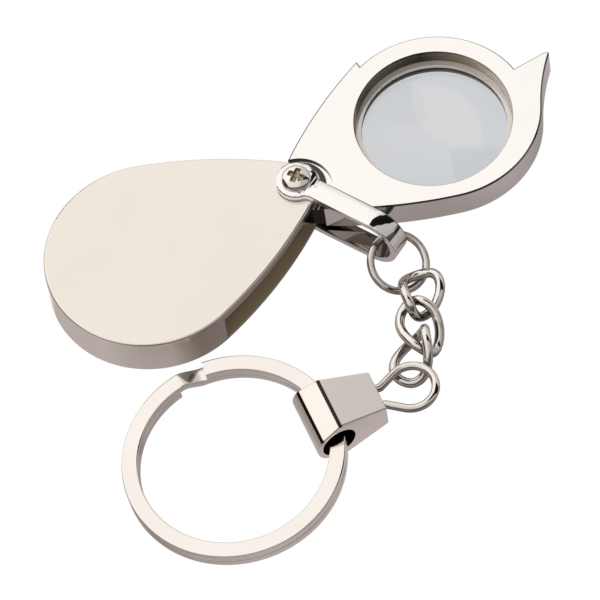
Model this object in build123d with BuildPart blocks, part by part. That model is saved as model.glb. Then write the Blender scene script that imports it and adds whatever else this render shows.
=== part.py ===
"""Folding key-ring magnifier: case, lens frame and shackle on one screw, with a short chain and a key ring.

Frame: millimetres, +Z up. The object lies on its underside on the plane Z = 0. +X runs from the case's
far end through the pivot towards the opened lens, and the origin is under the middle of the whole.
Every piece below is placed from the pivot axis, whose place in that frame is PIVOT_X, PIVOT_Y.
"""

import os
from math import acos, atan2, cos, hypot, pi, radians, sin, sqrt

from build123d import *

# ---------------------------------------------------------------- teardrop plan shared by case and frame
TIP_R = 3.2  # round end on the pivot
BODY_R = 14.3  # large round end
BODY_L = 22.3  # from the pivot to the centre of the large end
SIDE_R = 64.0  # the sides bulge gently between the two ends

# ---------------------------------------------------------------- heights of the stack on the screw
STRAP_T = 0.95  # shackle strip
RUN_GAP = 0.08  # between a shackle eye and the case
FLOOR_T = 0.65  # bottom plate of the case
POCKET_H = 4.6  # clear height of the case's pocket
ROOF_T = 1.2  # top plate of the case
FRAME_T = 4.4  # lens frame
CASE_Z = STRAP_T + RUN_GAP
POCKET_Z = CASE_Z + FLOOR_T
CASE_T = FLOOR_T + POCKET_H + ROOF_T
CASE_TOP = CASE_Z + CASE_T
FRAME_Z = POCKET_Z + (POCKET_H - FRAME_T) / 2
FRAME_TOP = FRAME_Z + FRAME_T
EYE_Z = CASE_TOP + RUN_GAP  # underside of the upper eye
EYE_TOP = EYE_Z + STRAP_T

# ---------------------------------------------------------------- case
WALL_T = 1.1
WALL_START = 17.9  # the wall ends here, and the slot for the folding frame begins
WALL_LAT = 0.35  # the wall's other end, just past the axis at the far end
CASE_SOFT = 0.3  # rounding of the outer edges

# ---------------------------------------------------------------- lens frame
LENS_TURN = 3.9  # the opened frame's axis, in degrees from +X
LEAF_INSET = 0.26  # the leaf lies this far inside the case's outline
SEAT_X, SEAT_Y = 21.06, -0.7  # centre of the lens seat
SEAT_R = 10.72
LEDGE_R = 9.95
LEDGE_T = 0.7
RELIEF_R = 13.41  # the edge that goes behind the case's wall
RELIEF_START = 17.2  # step from the leaf's outline to the relief
TAB_REACH = 40.3  # tip of the thumb tab
TAB_SWEEP_R = 30.0  # hollow curve from the leaf to the tip
TAB_TIP_R = 0.35
TAB_SETBACK = 0.528  # how far that rounding holds the tip back
FRAME_BEVEL = 0.2
SEAT_BEVEL = 0.15
HUB_R = 4.8  # shallow round recess about the pivot
HUB_DEPTH = 0.45

# ---------------------------------------------------------------- lens and its ring
LENS_R = 10.6
CAP_R = 9.9  # the curved part of each face; the rim outside it is flat
LENS_EDGE = 1.1
LENS_CURVE_R = 80.0
RETAINER_T = 0.6

# ---------------------------------------------------------------- screw and washers
SHANK_R = 1.1
SHANK_CLEAR = 0.05
HEAD_R = 2.05
HEAD_H = 1.2
HEAD_DOME = 0.55
CROSS_W, CROSS_L, CROSS_D = 0.62, 2.3, 0.8
SCREW_TIP_Z = 0.1
WASHER_R = 3.1
WASHER_T = 0.5

# ---------------------------------------------------------------- shackle
SHACKLE_TURN = -59.5
EYE_R = 2.85
LEG_W = 3.0
BOW_REACH = 16.35
NECK_R = 1.2

# ---------------------------------------------------------------- chain: centre, long direction, face direction
JUMP_R, JUMP_WIRE = 3.9, 1.05
JUMP_RING = ((7.18, -15.08, 2.43), (-0.215, -0.882, -0.419), (0.167, -0.456, 0.874))
LINK_WIRE = 1.33
LINK_HALF_L, LINK_HALF_W = 3.81, 2.56
LINK_TWIST = 42.7
LINK_BEND_R = 1.35
LINKS = (
    ((7.40, -21.06, 3.06), (-0.631, -0.734, 0.251), (0.443, -0.076, 0.894)),
    ((5.01, -25.71, 2.63), (-0.149, -0.970, -0.192), (0.146, -0.213, 0.966)),
    ((2.39, -28.91, 2.19), (-0.732, -0.611, -0.300), (-0.519, 0.216, 0.827)),
)

# ---------------------------------------------------------------- connector block and its wire loop
BLOCK_X, BLOCK_Y, BLOCK_Z = -12.4, -32.55, 3.65  # centre of the cross hole
BLOCK_TURN = -4.0
HOLE_R = 2.45
NOSE_R = 3.2
CREASE_X, CREASE_H = 0.5, 3.65
FACET_END_X = -2.39
TAIL_X, TAIL_H = 7.4, 1.87
NOSE_W, TAIL_W = 8.9, 6.2
CREASE_SOFT = 0.3
LOOP_WIRE = 1.15
LOOP_TURN, LOOP_RISE = -7.0, 2.0
LOOP_R, LOOP_REACH = 3.25, 7.8
LEG_SPREAD = 1.35
LEG_DEPTH, LEG_LEAD = 2.2, 0.5  # straight run of each leg inside the block and outside it

# ---------------------------------------------------------------- split ring
RING_X, RING_Y, RING_Z = -25.7, -31.3, 2.43
RING_TILT = 4.5
RING_R = 15.0
RING_W = 2.16
TURN_T = 1.2
TURN_GAP = 0.1
STEP_AT, STEP_ARC = 88.5, 17.5
STEP_FLAT = 3.4

# ---------------------------------------------------------------- place of the pivot in the object's frame
TAB_X = TAB_REACH * cos(radians(LENS_TURN)) - TAB_SETBACK
RING_LEFT = RING_X - RING_R * cos(radians(RING_TILT)) - (TURN_T + TURN_GAP / 2) * sin(radians(RING_TILT))
PIVOT_X = -(TAB_X + RING_LEFT) / 2
PIVOT_Y = -(BODY_R + RING_Y - RING_R) / 2


def level(height, turn=0.0):
    """A level plane with its origin on the pivot axis and its x turned about it by some degrees."""
    heading = (cos(radians(turn)), sin(radians(turn)), 0)
    return Plane(origin=(PIVOT_X, PIVOT_Y, height), x_dir=heading, z_dir=(0, 0, 1))


def placed(centre, along, face):
    """A plane at a place given from the pivot, with its x along one direction and facing another."""
    origin = (PIVOT_X + centre[0], PIVOT_Y + centre[1], centre[2])
    return Plane(origin=origin, x_dir=along, z_dir=face)


def upright(centre, turn):
    """A standing plane whose x points to a heading and whose y points up."""
    heading = radians(turn)
    origin = (PIVOT_X + centre[0], PIVOT_Y + centre[1], centre[2])
    return Plane(origin=origin, x_dir=(cos(heading), sin(heading), 0), z_dir=(sin(heading), -cos(heading), 0))


def draw_teardrop(inset):
    """The closed teardrop outline, a tip arc, a big arc and two side arcs, all tangent."""
    tip_gap, body_gap = SIDE_R - TIP_R, SIDE_R - BODY_R
    centre_x = (tip_gap**2 - body_gap**2 + BODY_L**2) / (2 * BODY_L)
    side_centre = Vector(centre_x, -sqrt(tip_gap**2 - centre_x**2))
    to_tip = (Vector(0, 0) - side_centre).normalized()
    to_body = (Vector(BODY_L, 0) - side_centre).normalized()
    to_middle = (to_tip + to_body).normalized()
    start, middle, end = (side_centre + way * (SIDE_R - inset) for way in (to_tip, to_middle, to_body))
    low_start, low_middle, low_end = (Vector(p.X, -p.Y) for p in (start, middle, end))
    ThreePointArc(low_start, (inset - TIP_R, 0), start)
    ThreePointArc(start, middle, end)
    ThreePointArc(end, (BODY_L + BODY_R - inset, 0), low_end)
    ThreePointArc(low_end, low_middle, low_start)


def finish(part, name):
    """Name a piece and write it."""
    part.part.label = name
    export_step(part.part, f"parts/{name}.step")


os.makedirs("parts", exist_ok=True)

# ================================================================ case
FAR = 3 * BODY_R
with BuildPart() as case:
    with BuildSketch(level(CASE_Z, 180)):
        with BuildLine():
            draw_teardrop(0)
        make_face()
    extrude(amount=CASE_T)
    fillet(case.edges().group_by(Axis.Z)[-1] + case.edges().group_by(Axis.Z)[0], CASE_SOFT)
    # The pocket is open all round except where the wall stands.
    with BuildSketch(level(POCKET_Z, 180)):
        Rectangle(2 * FAR, 2 * FAR)
        with Locations((WALL_START, WALL_LAT)):
            Rectangle(FAR, FAR, align=(Align.MIN, Align.MIN), mode=Mode.SUBTRACT)
        with BuildLine():
            draw_teardrop(WALL_T)
        make_face()
    extrude(amount=POCKET_H, mode=Mode.SUBTRACT)
    with BuildSketch(level(CASE_Z, 180)):
        Circle(SHANK_R + SHANK_CLEAR)
    extrude(amount=CASE_T, mode=Mode.SUBTRACT)
finish(case, "case")

# ================================================================ lens frame
leaf_r = BODY_R - LEAF_INSET
sweep_span = leaf_r + TAB_SWEEP_R
tab_from_body = TAB_REACH - BODY_L
sweep_angle = acos((leaf_r**2 + 2 * leaf_r * TAB_SWEEP_R + tab_from_body**2) / (2 * sweep_span * tab_from_body))
sweep_centre = Vector(BODY_L + sweep_span * cos(sweep_angle), -sweep_span * sin(sweep_angle))
tab_root = Vector(BODY_L + leaf_r * cos(sweep_angle), -leaf_r * sin(sweep_angle))
tab_tip = Vector(TAB_REACH, 0)
to_sweep_middle = ((tab_root - sweep_centre).normalized() + (tab_tip - sweep_centre).normalized()).normalized()
sweep_middle = sweep_centre + to_sweep_middle * TAB_SWEEP_R

with BuildSketch() as relief:
    with Locations((SEAT_X, SEAT_Y)):
        Circle(RELIEF_R)
    with Locations((RELIEF_START - 1, 0)):
        Rectangle(FAR, FAR, align=(Align.MIN, Align.MIN), mode=Mode.INTERSECT)

with BuildPart() as lens_frame:
    with BuildSketch(level(FRAME_Z, LENS_TURN)) as leaf:
        with BuildLine():
            draw_teardrop(LEAF_INSET)
        make_face()
        with Locations((RELIEF_START, 0)):
            Rectangle(FAR, FAR, align=(Align.MIN, Align.MIN), mode=Mode.SUBTRACT)
        add(relief.sketch)
        with BuildLine():
            Line((SEAT_X, 0), tab_tip)
            ThreePointArc(tab_tip, sweep_middle, tab_root)
            Line(tab_root, (SEAT_X, 0))
        make_face()
        fillet(leaf.vertices().sort_by(Axis.X)[-1], TAB_TIP_R)
    extrude(amount=FRAME_T)
    chamfer(lens_frame.edges().group_by(Axis.Z)[-1], FRAME_BEVEL)
    with BuildSketch(level(FRAME_TOP, LENS_TURN)):
        with Locations((SEAT_X, SEAT_Y)):
            Circle(SEAT_R)
    extrude(amount=-(FRAME_T - LEDGE_T), mode=Mode.SUBTRACT)
    with BuildSketch(level(FRAME_TOP, LENS_TURN)):
        with Locations((SEAT_X, SEAT_Y)):
            Circle(SEAT_R + SEAT_BEVEL)
    extrude(amount=-SEAT_BEVEL, taper=45, mode=Mode.SUBTRACT)
    with BuildSketch(level(FRAME_Z, LENS_TURN)):
        with Locations((SEAT_X, SEAT_Y)):
            Circle(LEDGE_R)
    extrude(amount=LEDGE_T, mode=Mode.SUBTRACT)
    with BuildSketch(level(FRAME_Z, LENS_TURN)):
        Circle(HUB_R)
    extrude(amount=HUB_DEPTH, mode=Mode.SUBTRACT)
    with BuildSketch(level(FRAME_TOP, LENS_TURN)):
        Circle(HUB_R)
    extrude(amount=-HUB_DEPTH, mode=Mode.SUBTRACT)
    with BuildSketch(level(FRAME_Z, LENS_TURN)):
        Circle(SHANK_R + SHANK_CLEAR)
    extrude(amount=FRAME_T, mode=Mode.SUBTRACT)
finish(lens_frame, "lens_frame")

# ================================================================ lens and retaining ring
# The lens is a disc whose two faces are caps of a large sphere, so its section is turned about its axis.
seat_turn = radians(LENS_TURN)
SEAT_PLACE = (
    SEAT_X * cos(seat_turn) - SEAT_Y * sin(seat_turn),
    SEAT_X * sin(seat_turn) + SEAT_Y * cos(seat_turn),
    FRAME_Z + LEDGE_T,
)
sag = LENS_CURVE_R - sqrt(LENS_CURVE_R**2 - CAP_R**2)
sag_half = LENS_CURVE_R - sqrt(LENS_CURVE_R**2 - (CAP_R / 2) ** 2)
seat_axis = Axis((PIVOT_X + SEAT_PLACE[0], PIVOT_Y + SEAT_PLACE[1], SEAT_PLACE[2]), (0, 0, 1))
with BuildPart() as lens:
    with BuildSketch(upright(SEAT_PLACE, 0)):
        with BuildLine():
            Line((0, -sag), (0, LENS_EDGE + sag))
            ThreePointArc((0, LENS_EDGE + sag), (CAP_R / 2, LENS_EDGE + sag - sag_half), (CAP_R, LENS_EDGE))
            Polyline((CAP_R, LENS_EDGE), (LENS_R, LENS_EDGE), (LENS_R, 0), (CAP_R, 0))
            ThreePointArc((CAP_R, 0), (CAP_R / 2, sag_half - sag), (0, -sag))
        make_face()
    revolve(axis=seat_axis)
finish(lens, "lens")

with BuildPart() as lens_retaining_ring:
    with BuildSketch(level(FRAME_Z + LEDGE_T + LENS_EDGE, LENS_TURN)):
        with Locations((SEAT_X, SEAT_Y)):
            Circle(SEAT_R - 0.02)
            Circle(LEDGE_R, mode=Mode.SUBTRACT)
    extrude(amount=RETAINER_T)
finish(lens_retaining_ring, "lens_retaining_ring")

# ================================================================ friction washers
for name, foot in (
    ("upper_friction_washer", FRAME_TOP - HUB_DEPTH),
    ("lower_friction_washer", FRAME_Z + HUB_DEPTH - WASHER_T),
):
    with BuildPart() as washer:
        with BuildSketch(level(foot)):
            Circle(WASHER_R)
            Circle(SHANK_R + SHANK_CLEAR, mode=Mode.SUBTRACT)
        extrude(amount=WASHER_T)
    finish(washer, name)

# ================================================================ pivot screw
with BuildPart() as pivot_screw:
    with BuildSketch(level(SCREW_TIP_Z)):
        Circle(SHANK_R)
    extrude(amount=EYE_TOP - SCREW_TIP_Z)
    with BuildSketch(level(EYE_TOP)):
        Circle(HEAD_R)
    extrude(amount=HEAD_H)
    fillet(pivot_screw.edges().group_by(Axis.Z)[-1], HEAD_DOME)
    with BuildSketch(level(EYE_TOP + HEAD_H - CROSS_D, 20)):
        Rectangle(CROSS_W, CROSS_L)
        Rectangle(CROSS_L, CROSS_W)
    extrude(amount=CROSS_D, mode=Mode.SUBTRACT)
finish(pivot_screw, "pivot_screw")

# ================================================================ shackle
# A flat strip bent round in a U seen from the side, then trimmed to its outline seen from above.
bow_r = EYE_TOP / 2
bow_x = BOW_REACH - bow_r
with BuildPart() as shackle:
    with BuildSketch(upright((0, 0, 0), SHACKLE_TURN)):
        with BuildLine():
            Line((-EYE_R, 0), (bow_x, 0))
            ThreePointArc((bow_x, 0), (BOW_REACH, bow_r), (bow_x, EYE_TOP))
            Line((bow_x, EYE_TOP), (-EYE_R, EYE_TOP))
            Line((-EYE_R, EYE_TOP), (-EYE_R, EYE_Z))
            Line((-EYE_R, EYE_Z), (bow_x, EYE_Z))
            ThreePointArc((bow_x, EYE_Z), (BOW_REACH - STRAP_T, bow_r), (bow_x, STRAP_T))
            Line((bow_x, STRAP_T), (-EYE_R, STRAP_T))
            Line((-EYE_R, STRAP_T), (-EYE_R, 0))
        make_face()
    extrude(amount=2 * EYE_R, both=True)
    with BuildSketch(level(0, SHACKLE_TURN)) as strap_plan:
        Circle(EYE_R)
        with Locations((BOW_REACH / 2, 0)):
            Rectangle(BOW_REACH + 1, LEG_W)
        inner_corners = strap_plan.vertices().filter_by_position(Axis.X, 0.5, EYE_R)
        fillet(inner_corners, NECK_R)
    extrude(amount=EYE_TOP, mode=Mode.INTERSECT)
    with BuildSketch(level(0)):
        Circle(SHANK_R + SHANK_CLEAR)
    extrude(amount=EYE_TOP, mode=Mode.SUBTRACT)
finish(shackle, "shackle")

# ================================================================ jump ring
with BuildPart() as shackle_ring:
    with Locations(placed(*JUMP_RING)):
        Torus(JUMP_R, JUMP_WIRE / 2)
finish(shackle_ring, "shackle_ring")


# ================================================================ curb links
def link_corners():
    """Corners of a link's centre line: an oval whose two ends are rolled opposite ways."""
    corners = []
    for step in range(8):
        angle = pi / 8 + step * pi / 4
        along = 1.06 * LINK_HALF_L * cos(angle)
        across = 1.09 * LINK_HALF_W * sin(angle)
        roll = -radians(LINK_TWIST) * along / LINK_HALF_L
        corners.append((along, across * cos(roll), across * sin(roll)))
    return corners


for number, (centre, along, face) in enumerate(LINKS, start=1):
    link_plane = placed(centre, along, face)
    corners = [link_plane.from_local_coords(Vector(*corner)) for corner in link_corners()]
    with BuildPart() as link:
        # Each half runs from the middle of one straight to the middle of the opposite one.
        for first in (0, 4):
            bends = [corners[first + step] for step in range(4)]
            start = (corners[first - 1] + bends[0]) / 2
            end = (bends[-1] + corners[(first + 4) % 8]) / 2
            with BuildLine() as half_line:
                FilletPolyline(start, *bends, end, radius=LINK_BEND_R)
            with BuildSketch(Plane(origin=start, z_dir=bends[0] - start)):
                Circle(LINK_WIRE / 2)
            sweep(path=half_line.wire())
    finish(link, f"chain_link_{number}")

# ================================================================ end loop
# The wire leaves the block as two legs side by side, opens to an eye and closes again.
loop_heading, loop_lift = radians(BLOCK_TURN + LOOP_TURN), radians(LOOP_RISE)
loop_along = (cos(loop_heading) * cos(loop_lift), sin(loop_heading) * cos(loop_lift), sin(loop_lift))
loop_face = (-cos(loop_heading) * sin(loop_lift), -sin(loop_heading) * sin(loop_lift), cos(loop_lift))
block_heading = radians(BLOCK_TURN)
TAIL_PLACE = (BLOCK_X + TAIL_X * cos(block_heading), BLOCK_Y + TAIL_X * sin(block_heading), BLOCK_Z)
eye_x = LOOP_REACH - LOOP_R
side_angle = atan2(LEG_SPREAD, LEG_LEAD - eye_x) - acos(LOOP_R / hypot(LEG_LEAD - eye_x, LEG_SPREAD))
side_x, side_y = eye_x + LOOP_R * cos(side_angle), LOOP_R * sin(side_angle)
loop_plane = placed(TAIL_PLACE, loop_along, loop_face)
with BuildPart() as end_loop:
    with BuildLine(loop_plane) as loop_line:
        Line((-LEG_DEPTH, LEG_SPREAD), (LEG_LEAD, LEG_SPREAD))
        Line((LEG_LEAD, LEG_SPREAD), (side_x, side_y))
        ThreePointArc((side_x, side_y), (LOOP_REACH, 0), (side_x, -side_y))
        Line((side_x, -side_y), (LEG_LEAD, -LEG_SPREAD))
        Line((LEG_LEAD, -LEG_SPREAD), (-LEG_DEPTH, -LEG_SPREAD))
    with BuildSketch(Plane(origin=loop_line.wire() @ 0, z_dir=loop_line.wire() % 0)):
        Circle(LOOP_WIRE / 2)
    sweep(path=loop_line.wire(), transition=Transition.ROUND)
finish(end_loop, "end_loop")

# ================================================================ connector block
facet_h = sqrt(NOSE_R**2 - FACET_END_X**2)
plan_taper = (NOSE_W - TAIL_W) / (TAIL_X + NOSE_R)
with BuildPart() as connector_block:
    with BuildSketch(upright((BLOCK_X, BLOCK_Y, BLOCK_Z), BLOCK_TURN)):
        with BuildLine():
            Polyline((FACET_END_X, facet_h), (CREASE_X, CREASE_H), (TAIL_X, TAIL_H))
            Polyline((TAIL_X, TAIL_H), (TAIL_X, -TAIL_H), (CREASE_X, -CREASE_H), (FACET_END_X, -facet_h))
            ThreePointArc((FACET_END_X, -facet_h), (-NOSE_R, 0), (FACET_END_X, facet_h))
        make_face()
    extrude(amount=NOSE_W / 2, both=True)
    creases = connector_block.edges().filter_by(GeomType.LINE).filter_by(
        lambda edge: abs((edge % 0).Z) < 0.01 and edge.length > NOSE_W - 0.1
    )
    fillet(creases, CREASE_SOFT)
    heading = radians(BLOCK_TURN)
    block_plan = Plane(
        origin=(PIVOT_X + BLOCK_X, PIVOT_Y + BLOCK_Y, BLOCK_Z - CREASE_H),
        x_dir=(cos(heading), sin(heading), 0),
        z_dir=(0, 0, 1),
    )
    with BuildSketch(block_plan):
        with BuildLine():
            Polyline(
                (-NOSE_R, NOSE_W / 2), (TAIL_X, TAIL_W / 2), (TAIL_X, -TAIL_W / 2), (-NOSE_R, -NOSE_W / 2), close=True
            )
        make_face()
    extrude(amount=2 * CREASE_H, mode=Mode.INTERSECT)
    with BuildSketch(upright((BLOCK_X, BLOCK_Y, BLOCK_Z), BLOCK_TURN)):
        Circle(HOLE_R)
    extrude(amount=NOSE_W, both=True, mode=Mode.SUBTRACT)
    leg_ends = placed(TAIL_PLACE, loop_face, loop_along).offset(-LEG_DEPTH)
    with BuildSketch(leg_ends):
        with Locations((0, LEG_SPREAD), (0, -LEG_SPREAD)):
            Circle(LOOP_WIRE / 2)
    extrude(amount=LEG_DEPTH + LEG_LEAD, mode=Mode.SUBTRACT)
finish(connector_block, "connector_block")

# ================================================================ split ring
# Two flat turns of one strip, joined by a short ramp from the lower turn's level to the upper one's.
tilt = radians(RING_TILT)
ring_x_dir, ring_face = (cos(tilt), 0, sin(tilt)), (-sin(tilt), 0, cos(tilt))


def ring_level(height, turn=0.0):
    """A plane of the key ring at a height above its middle, its x turned to an angle round the ring."""
    middle = placed((RING_X, RING_Y, RING_Z), ring_x_dir, ring_face)
    heading = middle.x_dir * cos(radians(turn)) + middle.y_dir * sin(radians(turn))
    return Plane(origin=middle.origin + middle.z_dir * height, x_dir=heading, z_dir=middle.z_dir)


lower_z, upper_z = -TURN_T - TURN_GAP / 2, TURN_GAP / 2
ramp_middle = ring_level(0, STEP_AT)
ramp_side = Plane(
    origin=ramp_middle.origin + ramp_middle.x_dir * (RING_R - 2 * RING_W),
    x_dir=ramp_middle.y_dir,
    z_dir=ramp_middle.x_dir,
)
slope = STEP_FLAT / 2
with BuildPart() as ramp:
    with BuildSketch(ramp_side):
        with BuildLine():
            Polyline(
                (-STEP_FLAT, lower_z),
                (-slope, lower_z),
                (slope, upper_z),
                (STEP_FLAT, upper_z),
                (STEP_FLAT, upper_z + TURN_T),
                (slope, upper_z + TURN_T),
                (-slope, lower_z + TURN_T),
                (-STEP_FLAT, lower_z + TURN_T),
                close=True,
            )
        make_face()
    extrude(amount=3 * RING_W)
    with BuildSketch(ring_level(lower_z)):
        Circle(RING_R)
        Circle(RING_R - RING_W, mode=Mode.SUBTRACT)
    extrude(amount=upper_z + TURN_T - lower_z, mode=Mode.INTERSECT)

turns_start = ring_level(0, STEP_AT + STEP_ARC / 2)
turns_section = Plane(origin=turns_start.origin, x_dir=turns_start.x_dir, z_dir=-turns_start.y_dir)
with BuildPart() as split_ring:
    for foot in (lower_z, upper_z):
        with BuildSketch(turns_section):
            with Locations((RING_R - RING_W / 2, foot + TURN_T / 2)):
                Rectangle(RING_W, TURN_T)
        revolve(axis=Axis(turns_start.origin, ring_face), revolution_arc=360 - STEP_ARC)
    add(ramp.part)
finish(split_ring, "split_ring")

print("pivot", round(PIVOT_X, 3), round(PIVOT_Y, 3), "top", round(EYE_TOP + HEAD_H, 3))
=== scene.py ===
# %% [markdown]
# # A folding hand lens in nickel plate
#
# The lens turns out of a teardrop case about one screw, and a short curb chain carries a split key ring.
# The CAD model is the frame: it gives every size and every place. This script gives the looks. It makes
# finer meshes for the pieces whose roundness shows, such as the links, the rings and the screw, and a
# node material for each finish.

from math import acos, atan2, cos, hypot, pi, radians, sin, sqrt

import bmesh
import bpy
from mathutils import Matrix, Vector


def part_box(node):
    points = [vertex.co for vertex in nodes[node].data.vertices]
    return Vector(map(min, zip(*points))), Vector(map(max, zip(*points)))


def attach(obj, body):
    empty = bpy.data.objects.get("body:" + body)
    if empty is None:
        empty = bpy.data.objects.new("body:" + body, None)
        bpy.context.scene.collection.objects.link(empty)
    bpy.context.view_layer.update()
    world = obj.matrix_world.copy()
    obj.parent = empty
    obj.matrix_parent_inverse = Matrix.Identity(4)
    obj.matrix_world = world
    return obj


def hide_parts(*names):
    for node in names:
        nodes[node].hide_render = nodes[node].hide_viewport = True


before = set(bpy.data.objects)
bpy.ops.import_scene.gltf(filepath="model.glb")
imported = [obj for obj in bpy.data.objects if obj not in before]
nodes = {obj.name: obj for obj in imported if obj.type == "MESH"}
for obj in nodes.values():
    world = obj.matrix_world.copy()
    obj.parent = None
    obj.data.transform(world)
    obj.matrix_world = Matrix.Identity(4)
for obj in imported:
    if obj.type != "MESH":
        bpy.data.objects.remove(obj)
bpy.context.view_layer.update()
MM = 0.001

# %% [markdown]
# Every place is counted from the pivot axis. The screw stands on it, so the middle of the screw's box is
# the pivot. The top of the shackle's box is the face that the screw's head sits on.

# %% Places from the frame
screw_low, screw_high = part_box("pivot_screw")
PIVOT = Vector(((screw_low.x + screw_high.x) / 2, (screw_low.y + screw_high.y) / 2, 0))
EYE_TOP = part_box("shackle")[1].z


def at(x, y, z):
    """A point given in millimetres from the pivot, in metres in the frame."""
    return PIVOT + Vector((x, y, z)) * MM


def basis(centre, along, face):
    """The matrix of a place: local X runs along, local Z faces outwards."""
    z_axis = Vector(face).normalized()
    x_axis = (Vector(along) - z_axis * Vector(along).dot(z_axis)).normalized()
    turn = Matrix((x_axis, z_axis.cross(x_axis), z_axis)).transposed()
    return Matrix.Translation(at(*centre)) @ turn.to_4x4()


print("pivot", tuple(round(v / MM, 2) for v in PIVOT))

# %% [markdown]
# The camera stands 0.8 m away with a very long lens, so the piece is seen almost without perspective. It
# looks down at about 58 degrees and is rolled by nearly 10 degrees. A matrix built from the three angles is
# exact, where a tracking constraint would lose the roll.

# %% Camera
AIM = Vector((-5.97, 3.74, 0)) * MM
DISTANCE = 0.81407
HEADING, ELEVATION, ROLL = radians(71.176), radians(58.353), radians(-9.578)
FOCAL_MM = 362.9

camera_data = bpy.data.cameras.new("camera")
camera_data.lens = FOCAL_MM
camera_data.sensor_width = 36
camera_data.clip_end = 10
camera = bpy.data.objects.new("camera", camera_data)
bpy.context.scene.collection.objects.link(camera)
look = Vector((cos(HEADING) * cos(ELEVATION), sin(HEADING) * cos(ELEVATION), -sin(ELEVATION)))
level_right = look.cross(Vector((0, 0, 1))).normalized()
level_up = level_right.cross(look)
up = level_up * cos(ROLL) - level_right * sin(ROLL)
turn = Matrix((look.cross(up), up, -look)).transposed()
camera.matrix_world = Matrix.Translation(AIM - look * DISTANCE) @ turn.to_4x4()
bpy.context.scene.camera = camera
print("camera at", tuple(round(v, 3) for v in camera.matrix_world.translation))

# %% [markdown]
# Bright plate is a mirror, so what it shows is the room. The room here is a studio tent, drawn as bands on
# the world by the direction a ray leaves in: white beyond the piece, light grey overhead, dark low down
# behind the camera and at the far left and right, with one dark slit high on the right. The bands were
# placed by trial, so that the plate turns light and dark where it should from this side. From other sides
# they are a guess.

# %% Helpers for node trees
def link(tree, source, target):
    tree.links.new(source, target)


def new_node(tree, kind, **settings):
    """A node with its properties and its unlinked inputs set by name."""
    node = tree.nodes.new(kind)
    for name, value in settings.items():
        if hasattr(node, name):
            setattr(node, name, value)
        else:
            node.inputs[name.replace("_", " ")].default_value = value
    return node


def math(tree, operation, first, second=0.0):
    """A Math node whose two inputs are sockets or numbers."""
    node = tree.nodes.new("ShaderNodeMath")
    node.operation = operation
    for socket, value in zip(node.inputs, (first, second)):
        if isinstance(value, bpy.types.NodeSocket):
            link(tree, value, socket)
        else:
            socket.default_value = value
    return node.outputs[0]


def ramp(tree, source, stops):
    """A colour ramp with its stops given as place and colour."""
    node = tree.nodes.new("ShaderNodeValToRGB")
    elements = node.color_ramp.elements
    while len(elements) < len(stops):
        elements.new(0.5)
    for element, (place, colour) in zip(elements, stops):
        element.position = place
        element.color = (*colour, 1)
    link(tree, source, node.inputs[0])
    return node.outputs[0]


def mix(tree, share, first, second, blend="MIX"):
    """A colour mix; share and the two colours are sockets or plain values."""
    node = tree.nodes.new("ShaderNodeMix")
    node.data_type = "RGBA"
    node.blend_type = blend
    colours = [socket for socket in node.inputs if socket.type == "RGBA"]
    for socket, value in zip((node.inputs[0], *colours), (share, first, second)):
        if isinstance(value, bpy.types.NodeSocket):
            link(tree, value, socket)
        else:
            socket.default_value = value if socket.type == "VALUE" else (*value, 1)
    return [socket for socket in node.outputs if socket.type == "RGBA"][0]


def object_noise(tree, **settings):
    """Noise on the piece's own coordinates."""
    noise = new_node(tree, "ShaderNodeTexNoise", **settings)
    link(tree, new_node(tree, "ShaderNodeTexCoord").outputs["Object"], noise.inputs["Vector"])
    return noise


def grey(level, warmth=0.0):
    """A grey that leans to cream as warmth grows."""
    return (level * (1 + warmth), level, level * (1 - 1.4 * warmth))


# %% Studio tent
world = bpy.data.worlds.new("studio")
bpy.context.scene.world = world
world.use_nodes = True
tree = world.node_tree
tree.nodes.clear()
direction = new_node(tree, "ShaderNodeTexCoord").outputs["Generated"]


def along(axis):
    """How far the ray's direction leans along an axis."""
    dot = tree.nodes.new("ShaderNodeVectorMath")
    dot.operation = "DOT_PRODUCT"
    link(tree, direction, dot.inputs[0])
    dot.inputs[1].default_value = axis
    return dot.outputs["Value"]


ahead = Vector((look.x, look.y, 0)).normalized()
side = ahead.cross(Vector((0, 0, 1)))
rise = math(tree, "ARCTAN2", along((0, 0, 1)), along(ahead))
band = math(tree, "DIVIDE", rise, pi)
TENT = (
    (0.0, grey(0.80, 0.03)),
    (0.12, grey(0.98, 0.02)),
    (0.42, grey(1.0, 0.02)),
    (0.50, grey(0.82, 0.01)),
    (0.74, grey(0.74, 0.01)),
    (0.80, grey(0.16, 0.01)),
    (1.0, grey(0.07, 0.01)),
)
tent = ramp(tree, band, TENT)
lean = math(tree, "ADD", math(tree, "MULTIPLY", along(side), 0.5), 0.5)
WINGS = (
    (0.0, grey(0.02)),
    (0.06, grey(0.02)),
    (0.10, grey(1.05)),
    (0.55, grey(1.0)),
    (0.70, grey(0.62)),
    (0.975, grey(0.60)),
    (0.99, grey(0.10)),
    (1.0, grey(0.05)),
)
wings = ramp(tree, lean, WINGS)
SLIT = ((0.0, grey(1.0)), (0.346, grey(1.0)), (0.354, grey(0.012)), (0.49, grey(0.012)), (0.502, grey(1.0)))
SLIT_FROM = 0.53
on_right = math(tree, "GREATER_THAN", lean, SLIT_FROM)
slit = mix(tree, on_right, (1, 1, 1), ramp(tree, band, SLIT))
room = mix(tree, 1.0, mix(tree, 1.0, tent, wings, "MULTIPLY"), slit, "MULTIPLY")
path = new_node(tree, "ShaderNodeLightPath")
background = new_node(tree, "ShaderNodeBackground", Strength=1.0)
link(tree, mix(tree, path.outputs["Is Camera Ray"], room, (1, 1, 1)), background.inputs["Color"])
out = new_node(tree, "ShaderNodeOutputWorld")
link(tree, background.outputs[0], out.inputs["Surface"])
bpy.context.scene.view_settings.view_transform = "Standard"
print("tent with", len(TENT), "bands and", len(WINGS), "wings")

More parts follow.
